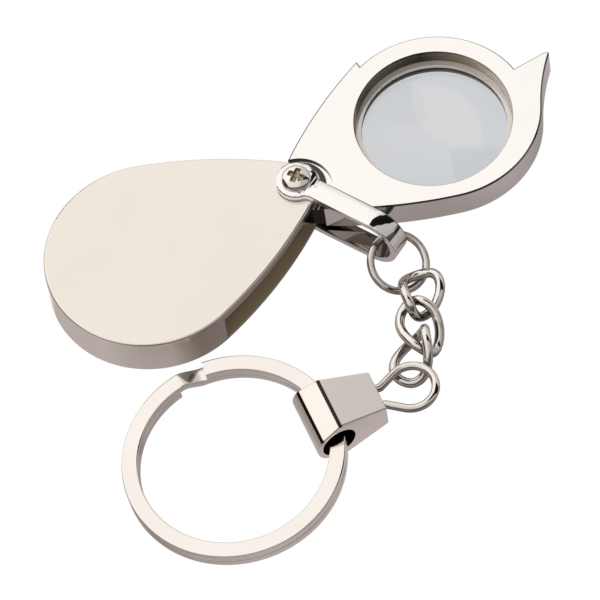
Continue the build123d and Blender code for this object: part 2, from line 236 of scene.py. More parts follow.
# %% [markdown]
# The floor is a plain pale sheet that gives off its own light, so nothing casts a shadow on it. Seen
# directly or through the lens it is white. In the plate's reflections it is a mottled grey, which gives the
# standing walls their grey side. The Light Path node tells the two apart.

# %% Floor
FLOOR_HALF = 1.5
floor_mesh = bpy.data.meshes.new("floor")
corners = [(x * FLOOR_HALF, y * FLOOR_HALF, 0) for x, y in ((-1, -1), (1, -1), (1, 1), (-1, 1))]
floor_mesh.from_pydata(corners, [], [(0, 1, 2, 3)])
floor = bpy.data.objects.new("floor", floor_mesh)
bpy.context.scene.collection.objects.link(floor)
paper = bpy.data.materials.new("paper")
paper.use_nodes = True
tree = paper.node_tree
tree.nodes.clear()
path = new_node(tree, "ShaderNodeLightPath")
spread = object_noise(tree, Scale=26.0, Detail=1.0, Roughness=0.4)
TABLE_GREYS = ((0.36, (0.30, 0.268, 0.26)), (0.60, (0.50, 0.455, 0.45)))
table_grey = ramp(tree, spread.outputs["Fac"], TABLE_GREYS)
reflected = math(tree, "SUBTRACT", path.outputs["Is Glossy Ray"], path.outputs["Is Transmission Ray"])
in_plate = math(tree, "GREATER_THAN", reflected, 0.5)
lit = new_node(tree, "ShaderNodeEmission", Strength=1.0)
link(tree, mix(tree, in_plate, (1, 1, 1), table_grey), lit.inputs["Color"])
out = new_node(tree, "ShaderNodeOutputMaterial")
link(tree, lit.outputs[0], out.inputs["Surface"])
floor_mesh.materials.append(paper)
print("floor", 2 * FLOOR_HALF, "m wide")

# %% [markdown]
# Nickel plate is one metal with several finishes, so what the finishes share is built once as node groups,
# and each material places them with its own values. Two groups change the surface: an uneven polish and a
# fine brushed grain. Three only give a mask: for standing faces turned to one heading, for a round wall, and
# for narrow slanted edges. A mask is for painting a tone on a part of a piece.

# %% Shared effects
def sized_socket(group, name, kind, default):
    """A named input with a default value; its identifier is what a modifier needs."""
    socket = group.interface.new_socket(name=name, in_out="INPUT", socket_type=kind)
    socket.default_value = default
    return socket.identifier


def new_group(name, inputs, outputs):
    """A shader node group with float inputs and the named outputs."""
    group = bpy.data.node_groups.new(name, "ShaderNodeTree")
    for label, default in inputs:
        sized_socket(group, label, "NodeSocketFloat", default)
    for label, kind in outputs:
        group.interface.new_socket(name=label, in_out="OUTPUT", socket_type=kind)
    return group, group.nodes.new("NodeGroupInput"), group.nodes.new("NodeGroupOutput")


def polish_group():
    """Soft clouds in the polish, for roughness, and a very low wave, for the normal."""
    group, given, result = new_group(
        "polish",
        (("Cloud Size", 140.0), ("Roughness", 0.05), ("Unevenness", 0.03),
         ("Wave", 0.02), ("Wave Size", 90.0)),
        (("Roughness", "NodeSocketFloat"), ("Normal", "NodeSocketVector")),
    )
    cloud = object_noise(group, Detail=3.0, Roughness=0.6)
    link(group, given.outputs["Cloud Size"], cloud.inputs["Scale"])
    centred = math(group, "SUBTRACT", cloud.outputs["Fac"], 0.5)
    uneven = math(group, "MULTIPLY", centred, given.outputs["Unevenness"])
    rough = math(group, "ADD", given.outputs["Roughness"], uneven)
    link(group, math(group, "MAXIMUM", rough, 0.01), result.inputs["Roughness"])
    wave = object_noise(group, Detail=1.0, Roughness=0.4)
    link(group, given.outputs["Wave Size"], wave.inputs["Scale"])
    bump = new_node(group, "ShaderNodeBump", Distance=0.0004)
    link(group, wave.outputs["Fac"], bump.inputs["Height"])
    link(group, given.outputs["Wave"], bump.inputs["Strength"])
    link(group, bump.outputs["Normal"], result.inputs["Normal"])
    return group


def grain_group():
    """Fine brushed lines along the piece, as a normal and as light and dark in the colour."""
    group, given, result = new_group(
        "brushed_grain",
        (("Lines", 2600.0), ("Stretch", 0.02), ("Depth", 0.1), ("Contrast", 0.04)),
        (("Shade", "NodeSocketFloat"), ("Normal", "NodeSocketVector")),
    )
    place = object_place(group)
    joined = new_node(group, "ShaderNodeCombineXYZ")
    link(group, math(group, "MULTIPLY", place["X"], given.outputs["Stretch"]), joined.inputs["X"])
    link(group, place["Y"], joined.inputs["Y"])
    link(group, place["Z"], joined.inputs["Z"])
    lines = new_node(group, "ShaderNodeTexNoise", Detail=2.0, Roughness=0.7)
    link(group, joined.outputs[0], lines.inputs["Vector"])
    link(group, given.outputs["Lines"], lines.inputs["Scale"])
    centred = math(group, "SUBTRACT", lines.outputs["Fac"], 0.5)
    link(group, math(group, "MULTIPLY", centred, given.outputs["Contrast"]), result.inputs["Shade"])
    bump = new_node(group, "ShaderNodeBump", Distance=0.00002)
    link(group, lines.outputs["Fac"], bump.inputs["Height"])
    link(group, given.outputs["Depth"], bump.inputs["Strength"])
    link(group, bump.outputs["Normal"], result.inputs["Normal"])
    return group


def object_normal(tree):
    """The surface's own direction in the frame, split into X, Y and Z."""
    split = new_node(tree, "ShaderNodeSeparateXYZ")
    link(tree, tree.nodes.new("ShaderNodeNewGeometry").outputs["Normal"], split.inputs[0])
    return split.outputs


def object_place(tree):
    """The point's place in the frame, split into X, Y and Z."""
    split = new_node(tree, "ShaderNodeSeparateXYZ")
    link(tree, new_node(tree, "ShaderNodeTexCoord").outputs["Object"], split.inputs[0])
    return split.outputs


def soft_above(tree, value, edge, softness):
    """0 below the edge, 1 above edge + softness, and a straight climb between."""
    climb = math(tree, "DIVIDE", math(tree, "SUBTRACT", value, edge), softness)
    return math(tree, "MINIMUM", math(tree, "MAXIMUM", climb, 0.0), 1.0)


def plan_distance(tree, place, x, y):
    """How far a place lies from x, y in plan, where both are sockets or metres."""
    gap_x = math(tree, "SUBTRACT", place["X"], x)
    gap_y = math(tree, "SUBTRACT", place["Y"], y)
    squares = math(tree, "ADD", math(tree, "MULTIPLY", gap_x, gap_x), math(tree, "MULTIPLY", gap_y, gap_y))
    return math(tree, "SQRT", squares)


def turned_shade_group():
    """A mask over the standing faces that are turned to one heading."""
    group, given, result = new_group(
        "turned_shade",
        (("Heading X", 1.0), ("Heading Y", 0.0), ("Start", 0.8), ("Softness", 0.15)),
        (("Mask", "NodeSocketFloat"),),
    )
    normal = object_normal(group)
    turned = math(group, "ADD", math(group, "MULTIPLY", normal["X"], given.outputs["Heading X"]),
                  math(group, "MULTIPLY", normal["Y"], given.outputs["Heading Y"]))
    mask = soft_above(group, turned, given.outputs["Start"], given.outputs["Softness"])
    link(group, mask, result.inputs["Mask"])
    return group


def round_wall_group():
    """A mask over the standing faces inside a circle in plan, such as the wall of a seat."""
    group, given, result = new_group(
        "round_wall",
        (("Centre X", 0.0), ("Centre Y", 0.0), ("Radius", 0.01)),
        (("Mask", "NodeSocketFloat"),),
    )
    place, normal = object_place(group), object_normal(group)
    distance = plan_distance(group, place, given.outputs["Centre X"], given.outputs["Centre Y"])
    near = math(group, "LESS_THAN", distance, given.outputs["Radius"])
    standing = math(group, "LESS_THAN", math(group, "ABSOLUTE", normal["Z"]), 0.97)
    link(group, math(group, "MULTIPLY", near, standing), result.inputs["Mask"])
    return group


def edge_line_group():
    """A mask over narrow slanted faces: the broken edges between a flat face and a standing one."""
    limits = (("From", 0.25), ("To", 0.96))
    group, given, result = new_group("edge_line", limits, (("Mask", "NodeSocketFloat"),))
    lean = math(group, "ABSOLUTE", object_normal(group)["Z"])
    link(group, math(group, "MULTIPLY", math(group, "GREATER_THAN", lean, given.outputs["From"]),
                     math(group, "LESS_THAN", lean, given.outputs["To"])), result.inputs["Mask"])
    return group


POLISH, GRAIN = polish_group(), grain_group()
TURNED_SHADE, ROUND_WALL, EDGE_LINE = turned_shade_group(), round_wall_group(), edge_line_group()
print("effects", POLISH.name, GRAIN.name, TURNED_SHADE.name, ROUND_WALL.name, EDGE_LINE.name)

# %% [markdown]
# Each finish is the same plate with its own two tones, roughness and waviness. The tones are a little warm,
# as nickel is beside chromium. Grain is added where the surface looks brushed.

# %% Plate materials
def place_group(tree, group, values):
    node = tree.nodes.new("ShaderNodeGroup")
    node.node_tree = group
    for name, value in values.items():
        node.inputs[name].default_value = value
    return node


def new_material(name):
    material = bpy.data.materials.new(name)
    material.use_nodes = True
    return material, material.node_tree, material.node_tree.nodes["Principled BSDF"]


def plate(name, light, dark, polish, grain=None):
    """Nickel plate: its colour drifts between two tones, and the polish group roughens it."""
    material, tree, surface = new_material(name)
    drift = object_noise(tree, Scale=70.0, Detail=2.0, Roughness=0.5)
    finish = place_group(tree, POLISH, polish)
    level = drift.outputs["Fac"]
    if grain:
        brushed = place_group(tree, GRAIN, grain)
        level = math(tree, "ADD", level, brushed.outputs["Shade"])
    link(tree, ramp(tree, level, ((0.3, dark), (0.7, light))), surface.inputs["Base Color"])
    link(tree, finish.outputs["Roughness"], surface.inputs["Roughness"])
    link(tree, (brushed if grain else finish).outputs["Normal"], surface.inputs["Normal"])
    surface.inputs["Metallic"].default_value = 1
    return material


SATIN = plate(
    "satin_nickel",
    (0.905, 0.850, 0.785),
    (0.875, 0.815, 0.745),
    {"Cloud Size": 120.0, "Roughness": 0.22, "Unevenness": 0.04},
    {"Lines": 2400.0, "Stretch": 0.10, "Depth": 0.012, "Contrast": 0.35},
)
MIRROR = plate(
    "polished_nickel",
    (0.975, 0.945, 0.925),
    (0.955, 0.925, 0.905),
    {"Cloud Size": 150.0, "Roughness": 0.045, "Unevenness": 0.03, "Wave": 0.02, "Wave Size": 60.0},
)
WIRE = plate(
    "chain_nickel",
    (0.94, 0.895, 0.84),
    (0.70, 0.645, 0.58),
    {"Cloud Size": 420.0, "Roughness": 0.06, "Unevenness": 0.06, "Wave": 0.35, "Wave Size": 420.0},
)
BLOCK_NICKEL = plate(
    "block_nickel",
    (0.95, 0.89, 0.84),
    (0.91, 0.85, 0.80),
    {"Cloud Size": 200.0, "Roughness": 0.09, "Unevenness": 0.04, "Wave": 0.03, "Wave Size": 120.0},
)
RING_NICKEL = plate(
    "ring_nickel",
    (0.945, 0.895, 0.85),
    (0.905, 0.855, 0.805),
    {"Cloud Size": 180.0, "Roughness": 0.10, "Unevenness": 0.05, "Wave": 0.03, "Wave Size": 160.0},
    {"Lines": 1800.0, "Stretch": 0.2, "Depth": 0.05, "Contrast": 0.15},
)
SCREW_NICKEL = plate(
    "screw_nickel",
    (0.96, 0.925, 0.885),
    (0.90, 0.865, 0.82),
    {"Cloud Size": 600.0, "Roughness": 0.13, "Unevenness": 0.06, "Wave": 0.12, "Wave Size": 700.0},
)
print("plate materials", len(bpy.data.materials))


def shade_over(material, mask, colour, share=1.0, roughness=None):
    """Lays a darker colour over a material where the mask is set, on top of what is there."""
    tree = material.node_tree
    surface = tree.nodes["Principled BSDF"]
    amount = math(tree, "MULTIPLY", mask, share)
    below = surface.inputs["Base Color"].links[0].from_socket
    link(tree, mix(tree, amount, below, colour), surface.inputs["Base Color"])
    if roughness is not None:
        smooth = surface.inputs["Roughness"].links[0].from_socket
        kept = math(tree, "MULTIPLY", smooth, math(tree, "SUBTRACT", 1.0, mask))
        laid = math(tree, "MULTIPLY", mask, roughness)
        link(tree, math(tree, "ADD", kept, laid), surface.inputs["Roughness"])


def lower_metallic(material, amount):
    """Takes a mask away from a material's full Metallic, which lightens what it would mirror."""
    tree = material.node_tree
    link(tree, math(tree, "SUBTRACT", 1.0, amount), tree.nodes["Principled BSDF"].inputs["Metallic"])


def heading_mask(material, degrees_from_x, start, softness):
    """A mask over the material's standing faces that are turned to one heading."""
    heading = radians(degrees_from_x)
    values = {"Heading X": cos(heading), "Heading Y": sin(heading), "Start": start, "Softness": softness}
    return place_group(material.node_tree, TURNED_SHADE, values).outputs["Mask"]


def edge_mask(material):
    """A mask over the material's narrow slanted edges."""
    return place_group(material.node_tree, EDGE_LINE, {}).outputs["Mask"]


def wall_mask(material, centre, radius):
    """A mask over the material's standing faces inside a circle in plan."""
    values = {"Centre X": centre.x, "Centre Y": centre.y, "Radius": radius}
    return place_group(material.node_tree, ROUND_WALL, values).outputs["Mask"]


# %% [markdown]
# The case is hollow. Its inside is brown and one flank is darker than its top, and the studio alone makes
# neither. Both tones are painted shade, laid on by masks: shade in the hollow inside and a shaded flank.
# Inside means a floor below the roof, a roof seen from below or a wall that faces the middle. It is also
# made less metallic, to lighten it.

# %% Painted shade on the case's inside and flank
tree = SATIN.node_tree
FLANK_HEADING, FLANK_PAINTED_SHADE, INSIDE_PAINTED_SHADE = -72, (0.30, 0.245, 0.205), (0.46, 0.375, 0.26)
ROOF_DEPTH, END_CLEAR, END_FADE = 1.0 * MM, 2.0 * MM, 3.0 * MM
place, normal = object_place(tree), object_normal(tree)
case_low, case_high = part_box("case")
middle = (case_low + case_high) / 2
inner_floor = math(tree, "MULTIPLY", math(tree, "GREATER_THAN", normal["Z"], 0.5),
                   math(tree, "LESS_THAN", place["Z"], case_high.z - ROOF_DEPTH))
inner_roof = math(tree, "MULTIPLY", math(tree, "LESS_THAN", normal["Z"], -0.5),
                  math(tree, "GREATER_THAN", place["Z"], middle.z))
facing = math(tree, "ADD",
              math(tree, "MULTIPLY", normal["X"], math(tree, "SUBTRACT", place["X"], middle.x)),
              math(tree, "MULTIPLY", normal["Y"], math(tree, "SUBTRACT", place["Y"], middle.y)))
inner_wall = math(tree, "MULTIPLY", math(tree, "LESS_THAN", facing, -0.5 * MM),
                  math(tree, "LESS_THAN", math(tree, "ABSOLUTE", normal["Z"]), 0.5))
inside = math(tree, "MAXIMUM", inner_floor, math(tree, "MAXIMUM", inner_roof, inner_wall))
clear_of_end = soft_above(tree, place["X"], case_low.x + END_CLEAR, END_FADE)
inside = math(tree, "MULTIPLY", inside, clear_of_end)
# Painted shade: the flank turned to one heading is laid darker.
shade_over(SATIN, heading_mask(SATIN, FLANK_HEADING, 0.84, 0.12), FLANK_PAINTED_SHADE, 0.85)
# Painted shade: the hollow inside is laid dark brown and rougher.
shade_over(SATIN, inside, INSIDE_PAINTED_SHADE, 1.0, 0.35)
lower_metallic(SATIN, math(tree, "MULTIPLY", inside, 0.85))
print("case shaded")

# %% [markdown]
# The frame is bright on its flat faces. The wall of the lens seat goes from cream through olive to black
# round the circle, as a painted reflection. The wall of the recess about the screw is black, as painted
# shade, and a patch beside the shackle's eye is black, as a painted shadow. A thin dark line, a painted
# reflection, runs along every broken edge. These tones are painted by masks, for reflections and shade
# that the studio doesn't give. They stand for tarnish or for reflections that the studio doesn't give, and
# it isn't known which.

# %% Painted reflections and shade on the frame's seat, hub and edges
FRAME_NICKEL = MIRROR.copy()
FRAME_NICKEL.name = "frame_nickel"
tree = FRAME_NICKEL.node_tree
SEAT, SEAT_REACH, HUB_REACH = at(21.06, 0.73, 0), 10.9 * MM, 4.9 * MM
EYE_SHADE, EYE_SHADE_R, EYE_SHADE_DROP = at(0.5, 0.6, 0), 3.7 * MM, 0.2 * MM
EDGE_PAINTED_REFLECTION, PAINTED_SHADE_BLACK = (0.10, 0.085, 0.07), (0.02, 0.016, 0.012)
# Painted reflection: a thin dark line along every broken edge.
shade_over(FRAME_NICKEL, edge_mask(FRAME_NICKEL), EDGE_PAINTED_REFLECTION, 0.9)
seat_wall = wall_mask(FRAME_NICKEL, SEAT, SEAT_REACH)
place = object_place(tree)
out_x, out_y = math(tree, "SUBTRACT", place["X"], SEAT.x), math(tree, "SUBTRACT", place["Y"], SEAT.y)
around = math(tree, "ARCTAN2", out_y, out_x)
share = math(tree, "ADD", math(tree, "DIVIDE", around, 2 * pi), 0.5)
SEAT_PAINTED_REFLECTIONS = (
    (0.40, (0.80, 0.74, 0.64)),
    (0.52, (0.86, 0.80, 0.70)),
    (0.60, (0.34, 0.29, 0.20)),
    (0.70, (0.04, 0.034, 0.024)),
    (0.80, (0.16, 0.135, 0.09)),
    (0.90, (0.22, 0.19, 0.13)),
    (0.955, (0.10, 0.085, 0.06)),
    (0.985, (0.72, 0.67, 0.58)),
)
seat_painted_reflection = ramp(tree, share, SEAT_PAINTED_REFLECTIONS)
# Painted reflection: the seat wall's tone changes round the circle.
shade_over(FRAME_NICKEL, seat_wall, seat_painted_reflection, 1.0, 0.25)
SEAT_DULL = ((0.50, grey(0.85)), (0.62, grey(0.0)), (0.95, grey(0.0)), (0.99, grey(0.85)))
dull = ramp(tree, share, SEAT_DULL)
lower_metallic(FRAME_NICKEL, math(tree, "MULTIPLY", seat_wall, dull))
hub_wall = wall_mask(FRAME_NICKEL, PIVOT, HUB_REACH)
# Painted shade: the wall of the recess about the screw is laid black.
shade_over(FRAME_NICKEL, hub_wall, PAINTED_SHADE_BLACK, 1.0, 0.12)
frame_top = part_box("lens_frame")[1].z
near_eye = math(tree, "LESS_THAN", plan_distance(tree, place, EYE_SHADE.x, EYE_SHADE.y), EYE_SHADE_R)
below_top = math(tree, "LESS_THAN", place["Z"], frame_top - EYE_SHADE_DROP)
# Painted shadow: faces below the frame's top beside the shackle's eye are laid black.
shade_over(FRAME_NICKEL, math(tree, "MULTIPLY", near_eye, below_top), PAINTED_SHADE_BLACK, 0.95)
RETAINER = BLOCK_NICKEL.copy()
RETAINER.name = "retainer_nickel"
RETAINER.node_tree.nodes["Principled BSDF"].inputs["Metallic"].default_value = 0.35
print("frame shaded")

# %% [markdown]
# Wires are bright on top and dark brown below. The brown is painted shade, laid on by how far the surface
# faces down. The strap of the shackle gets painted light too: a nearly black painted reflection on its far
# edge, and brown painted shade on top of its lower leg.

# %% Painted shade on undersides
tree = WIRE.node_tree
downward = math(tree, "MULTIPLY", object_normal(tree)["Z"], -1.0)
WIRE_UNDERSIDE_SHADE, LEG_PAINTED_SHADE, FAR_EDGE_PAINTED_REFLECTION = (0.10, 0.08, 0.06), (0.10, 0.085, 0.06), (0.03, 0.025, 0.02)
LEG_TOP, FAR_EDGE_HEADING = 3.0 * MM, 30.5
# Painted shade: wire faces that turn down are laid dark brown.
shade_over(WIRE, soft_above(tree, downward, -0.60, 0.45), WIRE_UNDERSIDE_SHADE, 0.9)
STRAP_NICKEL = MIRROR.copy()
STRAP_NICKEL.name = "strap_nickel"
tree = STRAP_NICKEL.node_tree
place, normal = object_place(tree), object_normal(tree)
lower_leg = math(tree, "MULTIPLY", math(tree, "LESS_THAN", place["Z"], LEG_TOP),
                 math(tree, "GREATER_THAN", normal["Z"], 0.7))
# Painted shade: the top of the strap's lower leg is laid brown.
shade_over(STRAP_NICKEL, lower_leg, LEG_PAINTED_SHADE, 0.85)
# Painted reflection: the strap's far edge is laid nearly black.
shade_over(STRAP_NICKEL, heading_mask(STRAP_NICKEL, FAR_EDGE_HEADING, 0.12, 0.15), FAR_EDGE_PAINTED_REFLECTION, 0.97)
print("undersides shaded")

# %% [markdown]
# The lens is clear glass over white paper, where it would nearly vanish, so its colour is a light, slightly
# uneven grey. The paler leaf where two circles overlap is painted, and stands for a reflection. The washers
# are milky nylon. They are hidden inside the case, so that is a guess.

# %% Glass and nylon
GLASS, tree, surface = new_material("lens_glass")
haze = object_noise(tree, Scale=45.0, Detail=2.0, Roughness=0.5)
tint = ramp(tree, haze.outputs["Fac"], ((0.3, (0.63, 0.65, 0.675)), (0.7, (0.68, 0.695, 0.715))))
place = object_place(tree)
LEAF_CENTRES, LEAF_R, LEAF_RIM = (at(18.4, 0.8, 0), at(28.6, 3.0, 0)), 9.0 * MM, 0.5 * MM
LEAF_TONE = (0.70, 0.712, 0.73)
inside_circles = []
for centre in LEAF_CENTRES:
    outside = soft_above(tree, plan_distance(tree, place, centre.x, centre.y), LEAF_R - LEAF_RIM, LEAF_RIM)
    inside_circles.append(math(tree, "SUBTRACT", 1.0, outside))
leaf = math(tree, "MULTIPLY", *inside_circles)
link(tree, mix(tree, leaf, tint, LEAF_TONE), surface.inputs["Base Color"])
surface.inputs["Roughness"].default_value = 0.02
surface.inputs["IOR"].default_value = 1.5
surface.inputs["Transmission Weight"].default_value = 0.94

NYLON, tree, surface = new_material("washer_nylon")
milk = object_noise(tree, Scale=300.0, Detail=2.0)
milky = ramp(tree, milk.outputs["Fac"], ((0.3, (0.70, 0.67, 0.60)), (0.7, (0.78, 0.75, 0.68))))
link(tree, milky, surface.inputs["Base Color"])
surface.inputs["Roughness"].default_value = 0.5
print("glass and nylon made")

# %% [markdown]
# Some faces are much darker than the plate beside them: the cross of the screw, and the hole and the sharp
# folds of the connector block. Two more plates, an olive one and a nearly black one, are put on those faces
# as second materials. How dark they are was judged.

# %% Dark plates for painted shade and reflection
# The nearly black plate is painted shade in the block's hole and a painted reflection on its folds.
DARK = plate(
    "dark_shade_and_reflection_nickel",
    (0.05, 0.042, 0.032),
    (0.02, 0.017, 0.014),
    {"Cloud Size": 500.0, "Roughness": 0.30, "Unevenness": 0.1},
)
# The olive plate is painted shade in the screw's cross.
OLIVE = plate(
    "olive_nickel",
    (0.42, 0.37, 0.24),
    (0.24, 0.21, 0.13),
    {"Cloud Size": 900.0, "Roughness": 0.28, "Unevenness": 0.15, "Wave": 0.4, "Wave Size": 1500.0},
)
print("shade and reflection plates made")

# %% [markdown]
# The links, the jump ring and the end loop are round wire swept along a line. The line of a curb link
# follows a rule: a rounded oval whose two ends are rolled opposite ways. A geometry node tree holds that
# rule once, and each link is the same tree with its own sizes. A torus or a curve drawn by hand for each
# link would have to be corrected link by link.

# %% A tree for twisted links
def start_tree(name):
    group = bpy.data.node_groups.new(name, "GeometryNodeTree")
    group.interface.new_socket(name="Geometry", in_out="INPUT", socket_type="NodeSocketGeometry")
    group.interface.new_socket(name="Geometry", in_out="OUTPUT", socket_type="NodeSocketGeometry")
    return group, group.nodes.new("NodeGroupInput"), group.nodes.new("NodeGroupOutput")


def sweep_wire(group, given, result, line, keys):
    """Ends a tree: sweeps a round wire along the line, and gives it its material."""
    keys["Wire"] = sized_socket(group, "Wire", "NodeSocketFloat", 0.001)
    keys["Sides"] = sized_socket(group, "Sides", "NodeSocketInt", 24)
    keys["Material"] = sized_socket(group, "Material", "NodeSocketMaterial", None)
    profile = group.nodes.new("GeometryNodeCurvePrimitiveCircle")
    link(group, given.outputs["Sides"], profile.inputs["Resolution"])
    link(group, math(group, "MULTIPLY", given.outputs["Wire"], 0.5), profile.inputs["Radius"])
    swept = group.nodes.new("GeometryNodeCurveToMesh")
    swept.inputs["Fill Caps"].default_value = True
    link(group, line, swept.inputs["Curve"])
    link(group, profile.outputs["Curve"], swept.inputs["Profile Curve"])
    smooth = group.nodes.new("GeometryNodeSetShadeSmooth")
    link(group, swept.outputs[0], smooth.inputs["Geometry"])
    real = group.nodes.new("GeometryNodeRealizeInstances")
    link(group, smooth.outputs[0], real.inputs[0])
    painted = group.nodes.new("GeometryNodeSetMaterial")
    link(group, real.outputs[0], painted.inputs["Geometry"])
    link(group, given.outputs["Material"], painted.inputs["Material"])
    link(group, painted.outputs[0], result.inputs["Geometry"])


def power_wave(group, wave, exponent):
    """The wave's own sign on a power of its size, which squares an oval's corners."""
    size = math(group, "POWER", math(group, "ABSOLUTE", wave), exponent)
    return math(group, "MULTIPLY", math(group, "SIGN", wave), size)


def link_tree():
    group, given, result = start_tree("twisted_link")
    keys = {name: sized_socket(group, name, "NodeSocketFloat", value) for name, value in
            (("Half Length", 0.0038), ("Half Width", 0.0026), ("Twist", 0.745), ("Squareness", 2.3))}
    keys["Steps"] = sized_socket(group, "Steps", "NodeSocketInt", 96)
    oval = group.nodes.new("GeometryNodeCurvePrimitiveCircle")
    link(group, given.outputs["Steps"], oval.inputs["Resolution"])
    index = group.nodes.new("GeometryNodeInputIndex").outputs[0]
    share = math(group, "DIVIDE", math(group, "ADD", index, 0.5), given.outputs["Steps"])
    angle = math(group, "MULTIPLY", share, 2 * pi)
    exponent = math(group, "DIVIDE", 2.0, given.outputs["Squareness"])
    reach = power_wave(group, math(group, "COSINE", angle), exponent)
    width = power_wave(group, math(group, "SINE", angle), exponent)
    across = math(group, "MULTIPLY", width, given.outputs["Half Width"])
    roll = math(group, "MULTIPLY", reach, math(group, "MULTIPLY", given.outputs["Twist"], -1.0))
    joined = group.nodes.new("ShaderNodeCombineXYZ")
    link(group, math(group, "MULTIPLY", reach, given.outputs["Half Length"]), joined.inputs["X"])
    link(group, math(group, "MULTIPLY", across, math(group, "COSINE", roll)), joined.inputs["Y"])
    link(group, math(group, "MULTIPLY", across, math(group, "SINE", roll)), joined.inputs["Z"])
    shaped = group.nodes.new("GeometryNodeSetPosition")
    link(group, oval.outputs["Curve"], shaped.inputs["Geometry"])
    link(group, joined.outputs[0], shaped.inputs["Position"])
    sweep_wire(group, given, result, shaped.outputs["Geometry"], keys)
    return group, keys


def plain_mesh(holder, name):
    """The mesh that a holder's modifiers give; the holder is removed."""
    bpy.context.view_layer.update()
    evaluated = holder.evaluated_get(bpy.context.evaluated_depsgraph_get())
    mesh = bpy.data.meshes.new_from_object(evaluated)
    mesh.name = name
    bpy.data.objects.remove(holder)
    return mesh


def shade_round(mesh, degrees):
    """Smooth shading, with the edges that bend more than the angle kept sharp."""
    mesh.shade_smooth()
    mesh.set_sharp_from_angle(angle=radians(degrees))


def add_object(name, data, body, node):
    """A finished piece in the scene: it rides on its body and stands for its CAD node."""
    piece = bpy.data.objects.new(name, data)
    bpy.context.scene.collection.objects.link(piece)
    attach(piece, body)
    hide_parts(node)
    return piece


def grown(name, source, group, keys, values):
    """Runs a tree on a source object with its own values and returns the plain mesh."""
    holder = bpy.data.objects.new(name, source)
    bpy.context.scene.collection.objects.link(holder)
    modifier = holder.modifiers.new("tree", "NODES")
    modifier.node_group = group
    for label, value in values.items():
        modifier[keys[label]] = value
    return plain_mesh(holder, name)


LINK_TREE, LINK_KEYS = link_tree()
print("tree", LINK_TREE.name, "with", len(LINK_KEYS), "inputs")

# %% Links and jump ring
LINK_WIRE, LINK_HALF_L, LINK_HALF_W = 1.33 * MM, 3.81 * MM, 2.56 * MM
LINK_TWIST, LINK_SQUARENESS = 42.7, 2.3
JUMP_R, JUMP_WIRE = 3.9 * MM, 1.05 * MM
JUMP_RING = ((7.18, -15.08, 2.43), (-0.215, -0.882, -0.419), (0.167, -0.456, 0.874))
LINKS = (
    ((7.40, -21.06, 3.06), (-0.631, -0.734, 0.251), (0.443, -0.076, 0.894)),
    ((5.01, -25.71, 2.63), (-0.149, -0.970, -0.192), (0.146, -0.213, 0.966)),
    ((2.39, -28.91, 2.19), (-0.732, -0.611, -0.300), (-0.519, 0.216, 0.827)),
)


def twisted_link(name, place, body, node, half_length, half_width, twist, squareness, wire):
    values = {"Half Length": half_length, "Half Width": half_width, "Twist": radians(twist),
              "Squareness": squareness, "Steps": 112, "Wire": wire, "Sides": 28, "Material": WIRE}
    mesh = grown(name, bpy.data.meshes.new(name), LINK_TREE, LINK_KEYS, values)
    mesh.transform(basis(*place))
    print(name, len(mesh.polygons), "faces")
    return add_object(name, mesh, body, node)


for number, place in enumerate(LINKS, start=1):
    twisted_link(f"curb_link_{number}", place, f"link_{number}", f"chain_link_{number}",
                 LINK_HALF_L, LINK_HALF_W, LINK_TWIST, LINK_SQUARENESS, LINK_WIRE)
twisted_link("jump_ring", JUMP_RING, "shackle_ring", "shackle_ring", JUMP_R, JUMP_R, 0.0, 2.0, JUMP_WIRE)

# %% [markdown]
# The end loop is a wire on another line: two legs that leave the block side by side, open to an eye and
# close again. Its line is drawn as a curve and a second, shorter tree sweeps the wire along it.

# %% End loop
BLOCK_CENTRE = (-12.4, -32.55, 3.65)
BLOCK_TURN = radians(-4)
LOOP_TURN, LOOP_RISE = radians(-7), radians(2)
LOOP_WIRE, LOOP_R, LOOP_REACH, LEG_SPREAD, LEG_DEPTH, LEG_LEAD = 1.15 * MM, 3.25, 7.8, 1.35, 1.2, 0.5
TAIL_X = 7.4
block_x, block_y, block_z = BLOCK_CENTRE
tail = (block_x + TAIL_X * cos(BLOCK_TURN), block_y + TAIL_X * sin(BLOCK_TURN), block_z)
heading = BLOCK_TURN + LOOP_TURN
loop_along = (cos(heading) * cos(LOOP_RISE), sin(heading) * cos(LOOP_RISE), sin(LOOP_RISE))
loop_face = (-cos(heading) * sin(LOOP_RISE), -sin(heading) * sin(LOOP_RISE), cos(LOOP_RISE))


def loop_line():
    """Points of the loop's line: a leg, the eye's arc and the other leg, with softened bends."""
    eye = LOOP_REACH - LOOP_R
    reach = hypot(LEG_LEAD - eye, LEG_SPREAD)
    meeting = atan2(LEG_SPREAD, LEG_LEAD - eye) - acos(LOOP_R / reach)
    line = [(-LEG_DEPTH, LEG_SPREAD), (0.0, LEG_SPREAD), (LEG_LEAD + 0.1, LEG_SPREAD + 0.02)]
    turns = 48
    for step in range(turns + 1):
        angle = meeting * (1 - 2 * step / turns)
        line.append((eye + LOOP_R * cos(angle), LOOP_R * sin(angle)))
    line += [(x, -y) for x, y in reversed(line[:3])]
    return line


def wire_tree():
    group, given, result = start_tree("wire_along_line")
    keys = {}
    sweep_wire(group, given, result, given.outputs["Geometry"], keys)
    return group, keys


WIRE_TREE, WIRE_KEYS = wire_tree()
curve = bpy.data.curves.new("loop_line", "CURVE")
curve.dimensions = "3D"
spline = curve.splines.new("POLY")
loop_points = loop_line()
spline.points.add(len(loop_points) - 1)
for point, (x, y) in zip(spline.points, loop_points):
    point.co = (x * MM, y * MM, 0, 1)
mesh = grown("wire_loop", curve, WIRE_TREE, WIRE_KEYS, {"Wire": LOOP_WIRE, "Sides": 28, "Material": WIRE})
mesh.transform(basis(tail, loop_along, loop_face))
add_object("wire_loop", mesh, "connector", "end_loop")
print("wire_loop", len(mesh.polygons), "faces")

